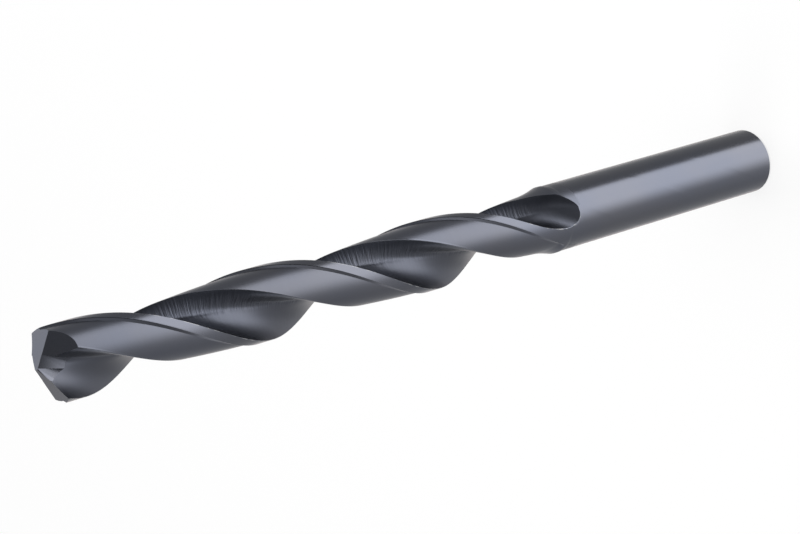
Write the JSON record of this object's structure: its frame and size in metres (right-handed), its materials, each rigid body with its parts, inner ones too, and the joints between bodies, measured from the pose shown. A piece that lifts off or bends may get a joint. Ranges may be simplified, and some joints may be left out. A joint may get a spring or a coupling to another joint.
{
  "type": "twist drill bit",
  "caption": "Right-hand jobber twist drill for metal: plain round shank, helical flutes with margins and relieved lands, and a thinned four-facet point.",
  "frame": {"origin": "centre of the flat end of the shank", "axes": "+Z along the drill's own axis from the shank to the cutting point; the two lips lie along +X and -X"},
  "size_m": [0.01, 0.01, 0.133],
  "materials": {
    "black_oxide_steel": "satin steam-tempered black oxide"
  },
  "bodies": {
    "root": {"twist_drill": "black_oxide_steel"}
  },
  "joints": []
}
